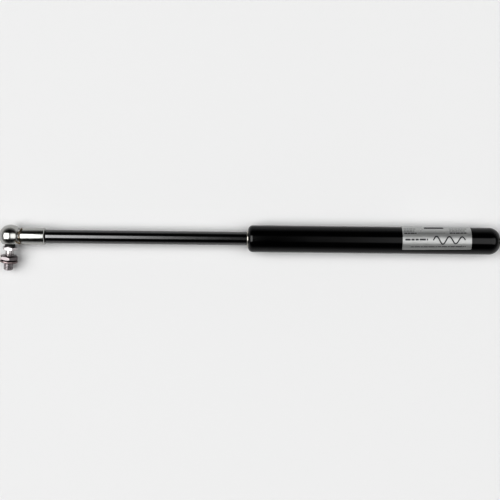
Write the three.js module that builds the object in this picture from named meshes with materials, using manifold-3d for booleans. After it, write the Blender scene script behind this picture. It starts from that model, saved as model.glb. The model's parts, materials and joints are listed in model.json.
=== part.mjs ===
// Gas strut stay: a gas spring with a ball joint on its rod and a threaded stud on its tube.
//
// Millimetres. The strut's axis is X. +X runs from the ball joint to the tube's end stud, the
// ball stud leaves the joint towards -Y, and +Z is up from the surface that the strut lies on.
// Inside this file lengths are counted from the ball's centre. The finished group is shifted so
// that its origin is the centre of the end stud's flat tip. The rod is fully out.

import * as THREE from 'three';
import { mergeVertices } from 'three/addons/utils/BufferGeometryUtils.js';
import Module from 'manifold-3d';

const wasm = await Module();
wasm.setup();

// Driving dimensions.
const ROD_RADIUS = 7;
const TUBE_RADIUS = 14;
const TUBE_WALL = 1.5;
const TUBE_FRONT = 246.9;
const TUBE_LENGTH = 262.2;
const FRONT_CORNER = 5;
const DOME_CORNER = 12;
const END_STUD_LENGTH = 15;
const THREAD_RADIUS = 5;
const BALL_RADIUS = 8;
const HEAD_RADIUS = 12;
const SHANK_RADIUS = 9;
const SOCKET_LENGTH = 36;
const ROD_THREAD_LENGTH = 19.5;
const NECK_RADIUS = 7;
const NECK_START = 8.35;
const NECK_END = 10.9;
const MOUTH_DEPTH = 8.5;
const BALL_STUD_LENGTH = 36;
const STUD_SEAT = 14.6;
const STUD_COLLAR = 3.5;
const STUD_RELIEF_RADIUS = 4;
const STUD_THREAD_START = 19;
const STUD_NECK_RADIUS = 4.4;
const STUD_FLATS = 13;
const STUD_TURN = THREE.MathUtils.degToRad(30);
const NUT_FLATS = 17;
const NUT_START = 20.5;
const NUT_HEIGHT = 5;
const NUT_TURN = THREE.MathUtils.degToRad(-16);
const WASHER_RADIUS = 9.05;
const WASHER_HEIGHT = 2;
const LABEL_START = 158.9;
const LABEL_LENGTH = 71.3;
const LABEL_THICKNESS = 0.15;
const LABEL_NEAR_EDGE = THREE.MathUtils.degToRad(134);
const LABEL_FAR_EDGE = THREE.MathUtils.degToRad(-25);
const STUD_LEAN = THREE.MathUtils.degToRad(6.5);
const STUD_DROOP = THREE.MathUtils.degToRad(10.05);

// Fits. A thread is drawn at its outer radius in a plain hole.
const RUNNING = 0.12;
const STATIC = 0.15;
const BUTT = 0.3;
const THREAD_GAP = 0.3;

// Where the inner pieces stand, along the strut.
const BORE_RADIUS = TUBE_RADIUS - TUBE_WALL;
const FITTED_RADIUS = BORE_RADIUS - STATIC;
const GUIDE_FRONT = TUBE_FRONT + TUBE_WALL + STATIC;
const GUIDE_BACK = TUBE_FRONT + 9.5;
const NOSE_PROUD = 1.1;
const NOSE_RADIUS = 8.4;
const NOSE_BORE = ROD_RADIUS + 0.3;
const BUSH_FRONT = TUBE_FRONT + 1;
const BUSH_POCKET = 8.2;
const SEAL_BACK = GUIDE_BACK + BUTT + 4.5;
const WASHER_BACK = SEAL_BACK + BUTT + 1;
const SLEEVE_BACK = TUBE_FRONT + 27.8;
const PISTON_FRONT = SLEEVE_BACK + BUTT;
const SPIGOT_RADIUS = 4;
const SPIGOT_LENGTH = 14.7;
const FRONT_DISC = 1.2;
const PISTON_LAND = 1;
const PISTON_HUB = 4;
const HUB_RADIUS = 9.4;
const LAND_RADIUS = 12.1;
const BACK_DISC = 1.4;
const HALF_RING = 1.5;
const PISTON_NUT_HEIGHT = 4.6;
const PISTON_NUT_FLATS = 13;
const SLEEVE_BORE = 10.9;
const ORIFICE_RADIUS = 0.7;
const ORIFICE_HEIGHT = 7.4;
const PLUG_FRONT = TUBE_FRONT + 243.5;
const DOME_START = TUBE_FRONT + TUBE_LENGTH - DOME_CORNER;
const DOME_AXIS = TUBE_RADIUS - DOME_CORNER;
const END_STUD_TIP = TUBE_FRONT + TUBE_LENGTH + END_STUD_LENGTH;
const ORING_SECTION = 0.95;
const ORING_GROOVE = BORE_RADIUS - 2 * ORING_SECTION - 0.2;
const END_HOLE = THREAD_RADIUS + 0.6;
const TIP_CHAMFER = 1;

const ROUND = 24;
const SMALL_ROUND = 20;
const CIRCLE = 2 * Math.PI;
const QUARTER = Math.PI / 2;

const blackPaint = finish(0x0b0b0d, 0.22, 0.1);
const nitridedSteel = finish(0x17171a, 0.2, 0.8);
const zincPlate = finish(0xb9bab6, 0.32, 0.9);
const groundSteel = finish(0x9a9b9c, 0.35, 0.9);
const springSteel = finish(0x8a7a62, 0.35, 0.85);
const brightNose = finish(0xc4c2bc, 0.3, 0.9);
const bronze = finish(0x9c7443, 0.45, 0.8);
const nitrileRubber = finish(0x121212, 0.7, 0);
const ringPolymer = finish(0x2c2a28, 0.55, 0);
const foil = finish(0xa4a5a4, 0.38, 0.6);

function finish(color, roughness, metalness) {
  return new THREE.MeshStandardMaterial({ color, roughness, metalness });
}

function named(name, geometry, material) {
  const mesh = new THREE.Mesh(geometry, material);
  mesh.name = name;
  return mesh;
}

// An outline is a list of [radius, height] corners, anticlockwise with the radius to the right.
function lathe(outline, segments = ROUND) {
  const corners = outline.map(([radius, height]) => new THREE.Vector2(radius, height));
  return new THREE.LatheGeometry(corners, segments);
}

// Corners along an arc in an outline. An angle of 0 points away from the axis, 90 up it.
function arc(centreRadius, centreHeight, radius, from, to, steps) {
  const corners = [];
  for (let step = 0; step <= steps; step += 1) {
    const angle = THREE.MathUtils.degToRad(from + ((to - from) * step) / steps);
    corners.push([
      Math.max(centreRadius + radius * Math.cos(angle), 0),
      centreHeight + radius * Math.sin(angle),
    ]);
  }
  return corners;
}

function ringOutline(inner, outer, from, to, chamfer = 0.3) {
  return [
    [inner, from],
    [outer - chamfer, from],
    [outer, from + chamfer],
    [outer, to - chamfer],
    [outer - chamfer, to],
    [inner, to],
    [inner, from],
  ];
}

// A turned piece on the strut's own axis.
function turned(name, outline, material, segments) {
  return alongStrut(named(name, lathe(outline, segments), material));
}

// Turns a mesh whose own axis is +Y so that it runs along the strut.
function alongStrut(mesh) {
  mesh.rotation.z = -QUARTER;
  return mesh;
}

function solidOf(geometry) {
  const bare = geometry.clone();
  bare.deleteAttribute('normal');
  bare.deleteAttribute('uv');
  const welded = mergeVertices(bare);
  const index = welded.index.array;
  const triangles = [];
  for (let i = 0; i < index.length; i += 3) {
    const [a, b, c] = [index[i], index[i + 1], index[i + 2]];
    if (a !== b && b !== c && c !== a) {
      triangles.push(a, b, c);
    }
  }
  return new wasm.Manifold(
    new wasm.Mesh({
      numProp: 3,
      vertProperties: new Float32Array(welded.attributes.position.array),
      triVerts: new Uint32Array(triangles),
    }),
  );
}

function geometryOf(solid) {
  const mesh = solid.getMesh();
  const geometry = new THREE.BufferGeometry();
  geometry.setAttribute('position', new THREE.BufferAttribute(mesh.vertProperties, 3));
  geometry.setIndex(new THREE.BufferAttribute(mesh.triVerts, 1));
  geometry.computeVertexNormals();
  return geometry;
}

// A hexagon on +Y with both ends chamfered, as a solid. Its first corner points to +Z.
function hexagonSolid(acrossFlats, from, to, chamfer) {
  const corner = acrossFlats / 2 / Math.cos(Math.PI / 6);
  const prism = new THREE.CylinderGeometry(corner, corner, to - from, 6);
  prism.translate(0, (from + to) / 2, 0);
  const flat = corner - chamfer / Math.tan(Math.PI / 6);
  const spool = lathe([
    [0, from],
    [flat, from],
    [corner + 0.02, from + chamfer],
    [corner + 0.02, to - chamfer],
    [flat, to],
    [0, to],
  ]);
  return solidOf(prism).intersect(solidOf(spool));
}

function holeSolid(radius, from, to, segments = SMALL_ROUND) {
  const hole = new THREE.CylinderGeometry(radius, radius, to - from, segments);
  hole.translate(0, (from + to) / 2, 0);
  return solidOf(hole);
}

// ---- the tube and what is fixed in it ----

function cylinderTube() {
  const frontAxis = TUBE_RADIUS - FRONT_CORNER;
  const frontHole = NOSE_RADIUS + STATIC;
  const innerDome = DOME_CORNER - TUBE_WALL;
  const innerFront = FRONT_CORNER - TUBE_WALL;
  const reach = (radius) => THREE.MathUtils.radToDeg(Math.acos((END_HOLE - DOME_AXIS) / radius));
  const outline = [
    [frontHole, TUBE_FRONT],
    ...arc(frontAxis, TUBE_FRONT + FRONT_CORNER, FRONT_CORNER, -90, 0, 5),
    ...arc(DOME_AXIS, DOME_START, DOME_CORNER, 0, reach(DOME_CORNER), 6),
    ...arc(DOME_AXIS, DOME_START, innerDome, reach(innerDome), 0, 6),
    ...arc(frontAxis, TUBE_FRONT + FRONT_CORNER, innerFront, 0, -90, 5),
    [frontHole, TUBE_FRONT + TUBE_WALL],
    [frontHole, TUBE_FRONT],
  ];
  return turned('cylinder_tube', outline, blackPaint);
}

function endPlug() {
  const dome = DOME_CORNER - TUBE_WALL - STATIC;
  const angle = THREE.MathUtils.radToDeg(Math.acos((THREAD_RADIUS - DOME_AXIS) / dome));
  const grooveFront = PLUG_FRONT + 2;
  const grooveBack = grooveFront + 2 * ORING_SECTION + 0.5;
  const edge = 0.8;
  return turned(
    'end_plug',
    [
      [0, PLUG_FRONT],
      [FITTED_RADIUS - edge, PLUG_FRONT],
      [FITTED_RADIUS, PLUG_FRONT + edge],
      [FITTED_RADIUS, grooveFront],
      [ORING_GROOVE, grooveFront],
      [ORING_GROOVE, grooveBack],
      [FITTED_RADIUS, grooveBack],
      ...arc(DOME_AXIS, DOME_START, dome, 0, angle, 6),
      [THREAD_RADIUS, END_STUD_TIP - TIP_CHAMFER],
      [THREAD_RADIUS - TIP_CHAMFER, END_STUD_TIP],
      [0, END_STUD_TIP],
    ],
    zincPlate,
  );
}

function oring(name, middle) {
  const radius = BORE_RADIUS - ORING_SECTION - 0.1;
  return turned(name, arc(radius, middle, ORING_SECTION, 0, 360, 6), nitrileRubber);
}

function plugOring() {
  return oring('end_plug_oring', PLUG_FRONT + 2 + ORING_SECTION + 0.25);
}

function rodGuide() {
  const corner = FRONT_CORNER - TUBE_WALL - STATIC;
  const cornerAxis = TUBE_RADIUS - FRONT_CORNER;
  const grooveFront = GUIDE_BACK - 3.9;
  const grooveBack = GUIDE_BACK - 1.5;
  const nose = TUBE_FRONT - NOSE_PROUD;
  const edge = 0.3;
  return turned(
    'rod_guide',
    [
      [NOSE_BORE, nose + edge],
      [NOSE_BORE + edge, nose],
      [NOSE_RADIUS - edge, nose],
      [NOSE_RADIUS, nose + edge],
      [NOSE_RADIUS, GUIDE_FRONT],
      ...arc(cornerAxis, GUIDE_FRONT + corner, corner, -90, 0, 5),
      [FITTED_RADIUS, grooveFront],
      [ORING_GROOVE, grooveFront],
      [ORING_GROOVE, grooveBack],
      [FITTED_RADIUS, grooveBack],
      [FITTED_RADIUS, GUIDE_BACK],
      [BUSH_POCKET, GUIDE_BACK],
      [BUSH_POCKET, BUSH_FRONT],
      [NOSE_BORE, BUSH_FRONT],
      [NOSE_BORE, nose + edge],
    ],
    brightNose,
  );
}

function guideOring() {
  return oring('guide_oring', GUIDE_BACK - 2.7);
}

function guideBush() {
  const inner = ROD_RADIUS + RUNNING;
  return turned(
    'guide_bush',
    ringOutline(inner, BUSH_POCKET - STATIC, BUSH_FRONT + BUTT, GUIDE_BACK, 0.15),
    bronze,
  );
}

// A lip seal: its pocket is open to the gas, which presses the inner lip on the rod.
function rodSeal() {
  const front = GUIDE_BACK + BUTT;
  const lip = ROD_RADIUS + RUNNING;
  const heel = lip + 0.5;
  const pocket = front + 1.8;
  return turned(
    'rod_seal',
    [
      [heel, front],
      [FITTED_RADIUS, front],
      [FITTED_RADIUS, SEAL_BACK],
      [FITTED_RADIUS - 1.2, SEAL_BACK],
      [lip + 3, pocket],
      [lip + 2.1, pocket],
      [lip + 1.3, SEAL_BACK],
      [lip + 0.3, SEAL_BACK],
      [lip, SEAL_BACK - 0.8],
      [heel, SEAL_BACK - 2],
      [heel, front],
    ],
    nitrileRubber,
  );
}

function sealWasher() {
  const outline = ringOutline(ROD_RADIUS + 0.4, FITTED_RADIUS, SEAL_BACK + BUTT, WASHER_BACK, 0.2);
  return turned('seal_washer', outline, groundSteel);
}

// The tube-like spacer that the piston meets when the rod is fully out.
function stopSleeve() {
  const outline = ringOutline(SLEEVE_BORE, FITTED_RADIUS, WASHER_BACK + BUTT, SLEEVE_BACK);
  return turned('stop_sleeve', outline, zincPlate);
}

// The sticker: a thin strip rolled round the tube. Its angles are counted from +Y towards +Z.
function label() {
  const inner = TUBE_RADIUS + RUNNING;
  const outer = inner + LABEL_THICKNESS;
  const sector = new THREE.Shape();
  sector.absarc(0, 0, outer, LABEL_FAR_EDGE, LABEL_NEAR_EDGE, false);
  sector.absarc(0, 0, inner, LABEL_NEAR_EDGE, LABEL_FAR_EDGE, true);
  sector.closePath();
  const strip = new THREE.ExtrudeGeometry(sector, {
    depth: LABEL_LENGTH,
    bevelEnabled: false,
    curveSegments: 18,
  });
  const mesh = named('label', strip, foil);
  const across = new THREE.Vector3(0, 1, 0);
  const up = new THREE.Vector3(0, 0, 1);
  const along = new THREE.Vector3(1, 0, 0);
  mesh.setRotationFromMatrix(new THREE.Matrix4().makeBasis(across, up, along));
  mesh.position.x = TUBE_FRONT + LABEL_START;
  return mesh;
}

// ---- the rod and what is fixed to it ----

function pistonRod() {
  const shoulder = SOCKET_LENGTH + BUTT;
  const threadStart = shoulder - ROD_THREAD_LENGTH;
  const spigotEnd = PISTON_FRONT + SPIGOT_LENGTH;
  const shoulderEdge = 0.8;
  const pistonEdge = 0.4;
  const spigotEdge = 0.6;
  return turned(
    'piston_rod',
    [
      [0, threadStart],
      [THREAD_RADIUS - TIP_CHAMFER, threadStart],
      [THREAD_RADIUS, threadStart + TIP_CHAMFER],
      [THREAD_RADIUS, shoulder],
      [ROD_RADIUS - shoulderEdge, shoulder],
      [ROD_RADIUS, shoulder + shoulderEdge],
      [ROD_RADIUS, PISTON_FRONT - pistonEdge],
      [ROD_RADIUS - pistonEdge, PISTON_FRONT],
      [SPIGOT_RADIUS, PISTON_FRONT],
      [SPIGOT_RADIUS, spigotEnd - spigotEdge],
      [SPIGOT_RADIUS - spigotEdge, spigotEnd],
      [0, spigotEnd],
    ],
    nitridedSteel,
  );
}

// A turned piece on the spigot with one small hole that lets the gas through.
function orificePiece(name, outline, material) {
  const orifice = new THREE.CylinderGeometry(ORIFICE_RADIUS, ORIFICE_RADIUS, 60, 12);
  orifice.translate(0, PISTON_FRONT, ORIFICE_HEIGHT);
  const solid = solidOf(lathe(outline)).subtract(solidOf(orifice));
  return alongStrut(named(name, geometryOf(solid), material));
}

const DISC_START = PISTON_FRONT + BUTT;
const BODY_START = DISC_START + FRONT_DISC + BUTT;
const HUB_START = BODY_START + PISTON_LAND;
const HUB_END = HUB_START + PISTON_HUB;
const BACK_DISC_END = HUB_END + BUTT + BACK_DISC;

function pistonFrontDisc() {
  const outline = ringOutline(
    SPIGOT_RADIUS + STATIC, LAND_RADIUS - 0.3, DISC_START, DISC_START + FRONT_DISC,
  );
  return orificePiece('piston_front_disc', outline, groundSteel);
}

function pistonBody() {
  const inner = SPIGOT_RADIUS + STATIC;
  const outline = [
    [inner, BODY_START],
    [LAND_RADIUS, BODY_START],
    [LAND_RADIUS, HUB_START],
    [HUB_RADIUS, HUB_START],
    [HUB_RADIUS, HUB_END],
    [inner, HUB_END],
    [inner, BODY_START],
  ];
  return orificePiece('piston_body', outline, bronze);
}

function pistonBackDisc() {
  const outline = ringOutline(
    SPIGOT_RADIUS + STATIC, LAND_RADIUS, HUB_END + BUTT, BACK_DISC_END,
  );
  return orificePiece('piston_back_disc', outline, groundSteel);
}

function pistonRing() {
  const middle = (HUB_START + HUB_END + BUTT) / 2;
  const inner = HUB_RADIUS + 0.25;
  const outer = BORE_RADIUS - RUNNING;
  const outline = ringOutline(inner, outer, middle - HALF_RING, middle + HALF_RING);
  return turned('piston_ring', outline, ringPolymer);
}

function pistonNut() {
  const start = BACK_DISC_END + BUTT;
  const end = start + PISTON_NUT_HEIGHT;
  const solid = hexagonSolid(PISTON_NUT_FLATS, start, end, 0.9)
    .subtract(holeSolid(SPIGOT_RADIUS + THREAD_GAP, start - 1, end + 1));
  return alongStrut(named('piston_nut', geometryOf(solid), zincPlate));
}

// ---- the ball joint ----

const CLIP_ALONG = 7.3;
const CLIP_SIDE = -5.3;
const CLIP_WIRE = 0.65;
const CLIP_LEG_LOW = -9.6;
const CLIP_LEG_HIGH = 8.4;
const CLIP_ELBOW = 11.4;
const CLIP_OUTSIDE = 9.8;
const BOW_RADIUS = 7.9;
const BOW_ALONG = 10.05;
const RETAINER_SIDE = -3.5;
const RETAINER_WIRE = 0.55;
const RETAINER_RADIUS = 8.05;
const CUP_RADIUS = BALL_RADIUS + 0.2;

// The head and shank are turned on the strut's axis. The cup is then bored in from the side,
// with a groove for the retaining ring and a cross hole for the clip's leg.
function ballSocket() {
  const threadBottom = SOCKET_LENGTH - ROD_THREAD_LENGTH - 1;
  const tapped = THREAD_RADIUS + THREAD_GAP;
  const drillTip = 1.5;
  const edge = 0.8;
  const neckEdge = SHANK_RADIUS - 0.6;
  const headAngle = THREE.MathUtils.radToDeg(Math.asin(NECK_START / HEAD_RADIUS));
  const body = lathe([
    ...arc(0, 0, HEAD_RADIUS, -90, headAngle, 12),
    [NECK_RADIUS, NECK_START],
    [NECK_RADIUS, NECK_END],
    [neckEdge, NECK_END],
    [SHANK_RADIUS, NECK_END + SHANK_RADIUS - neckEdge],
    [SHANK_RADIUS, SOCKET_LENGTH - edge],
    [SHANK_RADIUS - edge, SOCKET_LENGTH],
    [tapped, SOCKET_LENGTH],
    [tapped, threadBottom],
    [0, threadBottom - drillTip],
  ]);
  body.rotateZ(-QUARTER);
  const groove = RETAINER_RADIUS + RETAINER_WIRE + STATIC;
  const grooveLow = RETAINER_SIDE - RETAINER_WIRE - 0.2;
  const grooveHigh = RETAINER_SIDE + RETAINER_WIRE + 0.2;
  const outside = HEAD_RADIUS - 1.8;
  const cup = lathe([
    [0, -MOUTH_DEPTH - 6],
    [outside, -MOUTH_DEPTH - 6],
    [outside, -MOUTH_DEPTH],
    [CUP_RADIUS + 0.15, -MOUTH_DEPTH],
    [CUP_RADIUS, -MOUTH_DEPTH + 0.3],
    [CUP_RADIUS, grooveLow],
    [groove, grooveLow],
    [groove, grooveHigh],
    [CUP_RADIUS, grooveHigh],
    ...arc(0, 0, CUP_RADIUS, 0, 90, 7),
  ]);
  const clipHole = CLIP_WIRE + 0.3;
  const crossHole = new THREE.CylinderGeometry(clipHole, clipHole, 30, 12);
  crossHole.rotateX(QUARTER);
  crossHole.translate(CLIP_ALONG, CLIP_SIDE, 0);
  const solid = solidOf(body).subtract(solidOf(cup)).subtract(solidOf(crossHole));
  return named('ball_socket', geometryOf(solid), zincPlate);
}

// A point of the clip's bow: a place along the strut, a distance from its axis and an angle
// from +Z towards +Y.
function bowPoint(along, radius, degrees) {
  const turn = THREE.MathUtils.degToRad(degrees);
  return new THREE.Vector3(along, radius * Math.sin(turn), radius * Math.cos(turn));
}

// One bent wire: a straight leg through the cross hole under the ball, an elbow outside the
// shank, a bow that springs into the neck and a free end that is bent out to pull on.
function safetyClip() {
  const route = [
    new THREE.Vector3(CLIP_ALONG, CLIP_SIDE, CLIP_LEG_LOW),
    new THREE.Vector3(CLIP_ALONG, CLIP_SIDE, CLIP_LEG_LOW / 3),
    new THREE.Vector3(CLIP_ALONG, CLIP_SIDE, CLIP_LEG_HIGH / 3),
    new THREE.Vector3(CLIP_ALONG, CLIP_SIDE, CLIP_LEG_HIGH),
    new THREE.Vector3(CLIP_ALONG + 0.6, CLIP_SIDE - 0.9, CLIP_LEG_HIGH + 1.3),
    new THREE.Vector3(CLIP_ALONG + 2.3, CLIP_SIDE - 2.1, CLIP_LEG_HIGH + 0.9),
    new THREE.Vector3(CLIP_ELBOW - 0.2, CLIP_SIDE - 2.5, CLIP_LEG_HIGH - 0.2),
    bowPoint(CLIP_ELBOW, CLIP_OUTSIDE + 0.3, -49),
    bowPoint(BOW_ALONG + 0.8, CLIP_OUTSIDE, -50),
    bowPoint(BOW_ALONG + 0.1, BOW_RADIUS + 1, -45),
    bowPoint(BOW_ALONG, BOW_RADIUS + 0.1, -31),
    bowPoint(BOW_ALONG, BOW_RADIUS, -16),
    bowPoint(BOW_ALONG, BOW_RADIUS, 0),
    bowPoint(BOW_ALONG + 0.3, BOW_RADIUS + 1.3, 14),
    bowPoint(BOW_ALONG + 0.9, CLIP_OUTSIDE, 25),
    bowPoint(BOW_ALONG + 1.7, CLIP_OUTSIDE, 39),
    bowPoint(BOW_ALONG + 2.5, CLIP_OUTSIDE, 55),
  ];
  const section = new THREE.Shape();
  section.absarc(0, 0, CLIP_WIRE, 0, CIRCLE, false);
  const wire = new THREE.ExtrudeGeometry(section, {
    extrudePath: new THREE.CatmullRomCurve3(route, false, 'centripetal'),
    steps: 54,
    curveSegments: 4,
  });
  return named('safety_clip', wire, springSteel);
}

// The split spring ring that snaps past the ball's widest part and keeps it in the cup.
function retainingRing() {
  const start = THREE.MathUtils.degToRad(8);
  const sweep = CIRCLE - 2 * start;
  const route = [];
  const stops = 40;
  for (let stop = 0; stop <= stops; stop += 1) {
    const turn = start + (sweep * stop) / stops;
    route.push(new THREE.Vector3(
      -RETAINER_RADIUS * Math.cos(turn), RETAINER_SIDE, RETAINER_RADIUS * Math.sin(turn),
    ));
  }
  const section = new THREE.Shape();
  section.absarc(0, 0, RETAINER_WIRE, 0, CIRCLE, false);
  const wire = new THREE.ExtrudeGeometry(section, {
    extrudePath: new THREE.CatmullRomCurve3(route, false, 'centripetal'),
    steps: 36,
    curveSegments: 3,
  });
  return named('retaining_ring', wire, groundSteel);
}

// The pieces below stand on the ball stud's own axis, +Y, counted from the ball's centre.

function dustSeal() {
  const inner = STUD_NECK_RADIUS + 0.3;
  const outer = inner + 0.7;
  const from = BALL_RADIUS;
  const to = STUD_SEAT - STUD_COLLAR - 0.4;
  const edge = 0.3;
  const outline = [
    [inner, from],
    [outer - edge, from],
    [outer, from + 0.8],
    [outer, to - 0.7],
    [outer - edge, to],
    [inner, to],
    [inner, from],
  ];
  return named('dust_seal', lathe(outline, SMALL_ROUND), nitrileRubber);
}

function ballStud() {
  const neckAngle = THREE.MathUtils.radToDeg(Math.acos(STUD_NECK_RADIUS / BALL_RADIUS));
  const shaft = lathe([
    ...arc(0, 0, BALL_RADIUS, -90, neckAngle, 14),
    [STUD_NECK_RADIUS, STUD_SEAT - 2],
    [STUD_RELIEF_RADIUS, STUD_SEAT - 1],
    [STUD_RELIEF_RADIUS, STUD_THREAD_START - TIP_CHAMFER],
    [THREAD_RADIUS, STUD_THREAD_START],
    [THREAD_RADIUS, BALL_STUD_LENGTH - TIP_CHAMFER],
    [THREAD_RADIUS - TIP_CHAMFER, BALL_STUD_LENGTH],
    [0, BALL_STUD_LENGTH],
  ]);
  const collar = hexagonSolid(STUD_FLATS, STUD_SEAT - STUD_COLLAR, STUD_SEAT, 0.7);
  const mesh = named('ball_stud', geometryOf(solidOf(shaft).add(collar)), zincPlate);
  mesh.rotation.y = STUD_TURN;
  return mesh;
}

function studNut() {
  const end = NUT_START + NUT_HEIGHT;
  const solid = hexagonSolid(NUT_FLATS, NUT_START, end, 0.9)
    .subtract(holeSolid(THREAD_RADIUS + THREAD_GAP, NUT_START - 1, end + 1));
  const mesh = named('stud_nut', geometryOf(solid), zincPlate);
  mesh.rotation.y = NUT_TURN;
  return mesh;
}

function lockWasher() {
  const inner = THREAD_RADIUS + THREAD_GAP;
  const slotHalf = THREE.MathUtils.degToRad(5);
  const section = new THREE.Shape();
  section.absarc(0, 0, WASHER_RADIUS, slotHalf, CIRCLE - slotHalf, false);
  section.absarc(0, 0, inner, CIRCLE - slotHalf, slotHalf, true);
  section.closePath();
  const split = new THREE.ExtrudeGeometry(section, {
    depth: WASHER_HEIGHT,
    bevelEnabled: false,
    curveSegments: 24,
  });
  split.rotateX(-QUARTER);
  split.translate(0, NUT_START + NUT_HEIGHT + BUTT, 0);
  return named('lock_washer', split, springSteel);
}

// The stud leaves the cup sideways, leaning away from the tube and drooping to the surface.
function studAxis() {
  return new THREE.Vector3(-Math.tan(STUD_LEAN), -1, -Math.tan(STUD_DROOP)).normalize();
}

function tiltedStud() {
  const axis = studAxis();
  const up = new THREE.Vector3(0, 0, 1);
  up.addScaledVector(axis, -up.dot(axis)).normalize();
  const side = new THREE.Vector3().crossVectors(axis, up);
  const group = new THREE.Group();
  group.setRotationFromMatrix(new THREE.Matrix4().makeBasis(side, axis, up));
  group.add(dustSeal(), ballStud(), studNut(), lockWasher());
  return group;
}

const strut = new THREE.Group();
strut.add(
  cylinderTube(),
  endPlug(),
  plugOring(),
  rodGuide(),
  guideOring(),
  guideBush(),
  rodSeal(),
  sealWasher(),
  stopSleeve(),
  label(),
  pistonRing(),
  pistonRod(),
  pistonFrontDisc(),
  pistonBody(),
  pistonBackDisc(),
  pistonNut(),
  ballSocket(),
  safetyClip(),
  retainingRing(),
  tiltedStud(),
);
strut.position.x = -END_STUD_TIP;

export default strut;
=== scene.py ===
import json
import math

import bmesh
import bpy
from mathutils import Matrix, Vector


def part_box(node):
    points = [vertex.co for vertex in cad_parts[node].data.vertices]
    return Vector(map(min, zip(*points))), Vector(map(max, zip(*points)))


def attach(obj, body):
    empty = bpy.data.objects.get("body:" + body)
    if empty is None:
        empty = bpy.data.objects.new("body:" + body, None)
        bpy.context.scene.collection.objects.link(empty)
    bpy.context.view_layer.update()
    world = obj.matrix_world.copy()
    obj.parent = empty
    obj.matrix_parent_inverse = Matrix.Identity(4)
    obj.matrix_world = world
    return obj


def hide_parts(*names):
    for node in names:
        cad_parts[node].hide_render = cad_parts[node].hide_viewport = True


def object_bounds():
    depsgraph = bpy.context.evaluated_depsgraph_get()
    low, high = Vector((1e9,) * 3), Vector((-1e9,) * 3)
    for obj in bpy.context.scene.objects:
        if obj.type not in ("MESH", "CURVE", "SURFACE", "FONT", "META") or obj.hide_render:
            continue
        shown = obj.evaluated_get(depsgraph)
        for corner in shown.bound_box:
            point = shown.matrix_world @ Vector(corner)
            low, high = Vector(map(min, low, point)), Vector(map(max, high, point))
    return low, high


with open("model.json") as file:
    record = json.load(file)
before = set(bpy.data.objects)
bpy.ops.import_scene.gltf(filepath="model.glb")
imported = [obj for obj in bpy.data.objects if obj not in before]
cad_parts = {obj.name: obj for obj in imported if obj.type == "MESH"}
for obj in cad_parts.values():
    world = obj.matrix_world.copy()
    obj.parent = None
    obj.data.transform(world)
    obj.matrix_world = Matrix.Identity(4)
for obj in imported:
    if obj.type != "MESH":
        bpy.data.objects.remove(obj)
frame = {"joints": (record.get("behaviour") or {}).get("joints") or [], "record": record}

# The strut's axis is X, its ball stud leaves the joint towards -Y and +Z is up. Outlines are in
# millimetres, counted from the ball's centre as in the CAD source, and meshes are in metres.
MM = 0.001
CAD_BOX = [list(corner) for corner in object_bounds()]
JOINTS = {joint["name"]: joint for joint in frame["joints"]}
BALL = Vector(JOINTS["stud_tilt"]["pos_m"])
STUD_AXIS = Vector(JOINTS["stud_turn"]["axis"]).normalized()
ALONG, ACROSS, UP = Vector((1, 0, 0)), Vector((0, 1, 0)), Vector((0, 0, 1))


# ---- places: each turned piece has an axis, and an outline's angle 0 points along `first` ----

class Place:
    def __init__(self, axis, first):
        self.axis = axis
        self.first = (first - axis * first.dot(axis)).normalized()
        self.second = axis.cross(self.first)

    def at(self, radius, angle, height):
        side = self.first * math.cos(angle) + self.second * math.sin(angle)
        return BALL + (self.axis * height + side * radius) * MM


STRUT = Place(ALONG, UP)
STUD = Place(STUD_AXIS, UP)
MOUTH = Place(ACROSS, UP)


def span(node):
    """Where a node starts and ends along the strut, in mm from the ball's centre."""
    low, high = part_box(node)
    return (low.x - BALL.x) / MM, (high.x - BALL.x) / MM


def radius_of(node):
    low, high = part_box(node)
    return (high.y - low.y) / 2 / MM


# Driving sizes, in mm, as the CAD model has them.
TUBE_FRONT = span("cylinder_tube")[0]
TUBE_RADIUS = radius_of("cylinder_tube")
ROD_RADIUS = radius_of("piston_rod")
TUBE_WALL = 1.5
FRONT_CORNER = 5.0
DOME_CORNER = 12.0
DOME_AXIS = TUBE_RADIUS - DOME_CORNER
BORE = TUBE_RADIUS - TUBE_WALL
FITTED = radius_of("end_plug")
NOSE_RADIUS = 8.4
THREAD_RADIUS = 5.0
THREAD_PITCH = 1.5
THREAD_DEPTH = 0.9
HEAD_RADIUS = -span("ball_socket")[0]
SOCKET_END = span("ball_socket")[1]
SHANK_RADIUS = 9.0
MOUTH_DEPTH = 8.5
BALL_RADIUS = 8.0
STUD_SEAT = 14.6
STUD_LENGTH = 36.0
STUD_FLATS = 13.0
STUD_COLLAR = 3.5
STUD_RELIEF_RADIUS = 4.0
STUD_THREAD_START = 19.0
NUT_START = 20.5
NUT_HEIGHT = 5.0
NUT_FLATS = 17.0
NUT_TURN = math.radians(-16)
STUD_TURN = math.radians(30)
TUBE_LENGTH = 262.2
DOME_START = TUBE_FRONT + TUBE_LENGTH - DOME_CORNER


# ---- mesh code ----

def arc(centre_radius, centre_height, radius, start, end, steps):
    """Corners along an arc. An angle of 0 points away from the axis, 90 up it."""
    corners = []
    for step in range(steps + 1):
        angle = math.radians(start + (end - start) * step / steps)
        corners.append((
            max(centre_radius + radius * math.cos(angle), 0.0),
            centre_height + radius * math.sin(angle),
        ))
    return corners


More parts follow.
